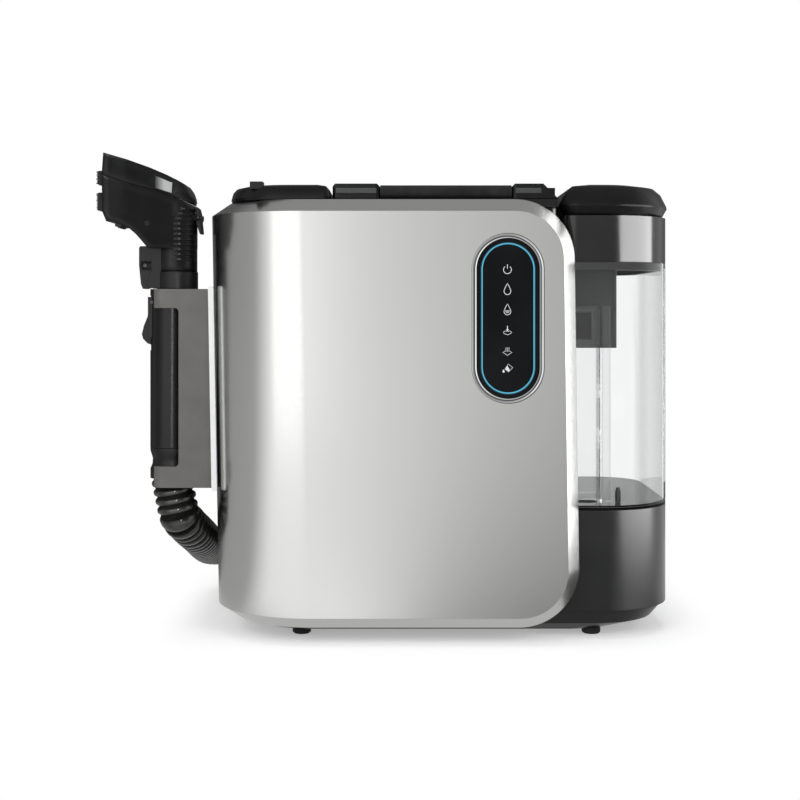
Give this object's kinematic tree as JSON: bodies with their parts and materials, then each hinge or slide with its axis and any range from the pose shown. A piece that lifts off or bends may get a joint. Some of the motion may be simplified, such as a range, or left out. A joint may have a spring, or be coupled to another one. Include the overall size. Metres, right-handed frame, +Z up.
{
  "type": "steam spot cleaner",
  "caption": "Steam spot cleaner: silver front shell, black core, clear dirty-water tank, lidded clean-water tank, fold-flat carry handle, trigger handset in a side cradle and ribbed hose.",
  "frame": {"origin": "on the floor under the middle of the bounding box", "axes": "+X to the right seen from the front, +Y from the front panel to the back, +Z up; stands on its rubber feet, handset parked in the cradle on the left"},
  "size_m": [0.4328, 0.269, 0.3604],
  "materials": {
    "silver_plastic": "satin metallic paint",
    "chrome_trim": "polished",
    "black_glass": "glossy",
    "blue_light": "glowing light guide",
    "circuit_board": "matt",
    "black_gloss": "glossy",
    "black_satin": "satin",
    "dark_plastic": "satin",
    "black_rubber": "soft matt",
    "seal_rubber": "soft matt",
    "grey_trim": "satin",
    "grey_plastic": "satin",
    "white_plastic": "glossy",
    "clear_tank": "clear",
    "clear_window": "clear",
    "float_foam": "matt",
    "steel": "brushed",
    "cast_aluminium": "cast",
    "silicone_line": "smooth",
    "bristle_plastic": "fine bristles",
    "hose_plastic": "glossy ribs"
  },
  "bodies": {
    "body": {"silver_shell": "silver_plastic", "panel_bezel": "chrome_trim", "touch_panel": "black_glass", "light_ring": "blue_light", "control_board": "circuit_board", "base_housing": "black_gloss", "bottom_tray": "black_gloss", "rubber_feet": "black_rubber", "tower_housing": "black_gloss", "top_deck": "black_satin", "rear_cover": "black_satin", "valve_seat": "dark_plastic", "port_seal": "seal_rubber", "vacuum_motor": "cast_aluminium", "motor_mounts": "black_rubber", "air_ducts": "dark_plastic", "water_pump": "white_plastic", "steam_boiler": "cast_aluminium", "water_lines": "silicone_line", "power_board": "circuit_board", "handset_cradle": "grey_plastic", "cradle_trim": "white_plastic", "hose": "hose_plastic", "hose_hooks": "black_satin", "hose_socket": "black_satin", "cord_gland": "black_rubber", "case_screws": "steel"},
    "carry_handle": {"handle_bail": "black_gloss", "handle_grip": "black_rubber", "handle_inlays": "grey_trim", "handle_pins": "steel"},
    "clean_tank_body": {"clean_tank": "clear_tank", "foot_valve": "white_plastic"},
    "clean_lid": {"clean_tank_lid": "black_gloss", "lid_seal": "seal_rubber", "lid_pin": "steel"},
    "dirty_tank_body": {"dirty_tank": "clear_tank", "tank_collar": "black_gloss", "separator": "dark_plastic", "standpipe": "clear_tank", "tank_post": "dark_plastic", "cap_pin": "steel"},
    "dirty_tank_cap": {"tank_cap": "black_gloss", "cap_seal": "seal_rubber"},
    "tank_float": {"float": "float_foam"},
    "handset": {"handset_handle": "black_gloss", "handset_collar": "black_satin", "hose_cuff": "black_satin", "suction_tube": "dark_plastic", "nozzle_body": "black_gloss", "nozzle_cover": "black_gloss", "nozzle_window": "clear_window", "nozzle_brush": "bristle_plastic", "steam_jet": "dark_plastic", "trigger_pins": "steel", "trigger_springs": "steel"},
    "steam_lever": {"steam_trigger": "black_satin"},
    "spray_lever": {"spray_trigger": "black_satin"},
    "latch_lever": {"nozzle_latch": "black_satin"},
    "fan_rotor": {"impeller": "cast_aluminium"}
  },
  "joints": [
    {"name": "carry_handle_fold", "type": "hinge", "parent": "body", "child": "carry_handle", "pos_m": [0.0444, -0.015, 0.33], "axis": [-1, 0, 0], "range_deg": [0, 90]},
    {"name": "clean_tank_lift", "type": "slide", "parent": "body", "child": "clean_tank_body", "axis": [0, 0, 1], "range_m": [0, 0.245]},
    {"name": "clean_lid_hinge", "type": "hinge", "parent": "clean_tank_body", "child": "clean_lid", "pos_m": [-0.0796, 0.057, 0.327], "axis": [-1, 0, 0], "range_deg": [0, 80]},
    {"name": "dirty_tank_lift", "type": "slide", "parent": "body", "child": "dirty_tank_body", "axis": [0, 0, 1], "range_m": [0, 0.25]},
    {"name": "tank_cap_hinge", "type": "hinge", "parent": "dirty_tank_body", "child": "dirty_tank_cap", "pos_m": [0.1594, 0.069, 0.3164], "axis": [-1, 0, 0], "range_deg": [0, 90]},
    {"name": "float_rise", "type": "slide", "parent": "dirty_tank_body", "child": "tank_float", "axis": [0, 0, 1], "range_m": [0, 0.036]},
    {"name": "handset_lift_out", "type": "slide", "parent": "body", "child": "handset", "axis": [-1, 0, 0], "range_m": [0, 0.05]},
    {"name": "steam_trigger_pull", "type": "hinge", "parent": "handset", "child": "steam_lever", "pos_m": [-0.1842, -0.0655, 0.277], "axis": [0, -1, 0], "range_deg": [0, 6], "stiffness_Nm_per_rad": 0.3, "springref_deg": -8.59},
    {"name": "spray_trigger_pull", "type": "hinge", "parent": "handset", "child": "spray_lever", "pos_m": [-0.1794, -0.0655, 0.249], "axis": [0, -1, 0], "range_deg": [0, 10], "stiffness_Nm_per_rad": 0.3, "springref_deg": -8.59},
    {"name": "nozzle_latch_press", "type": "hinge", "parent": "handset", "child": "latch_lever", "pos_m": [-0.1438, -0.0655, 0.3136], "axis": [0, 1, 0], "range_deg": [0, 5], "stiffness_Nm_per_rad": 0.2, "springref_deg": -8.59},
    {"name": "fan_spin", "type": "hinge", "parent": "body", "child": "fan_rotor", "pos_m": [0.0714, -0.013, 0.171], "axis": [0, 0, 1], "continuous": true}
  ]
}
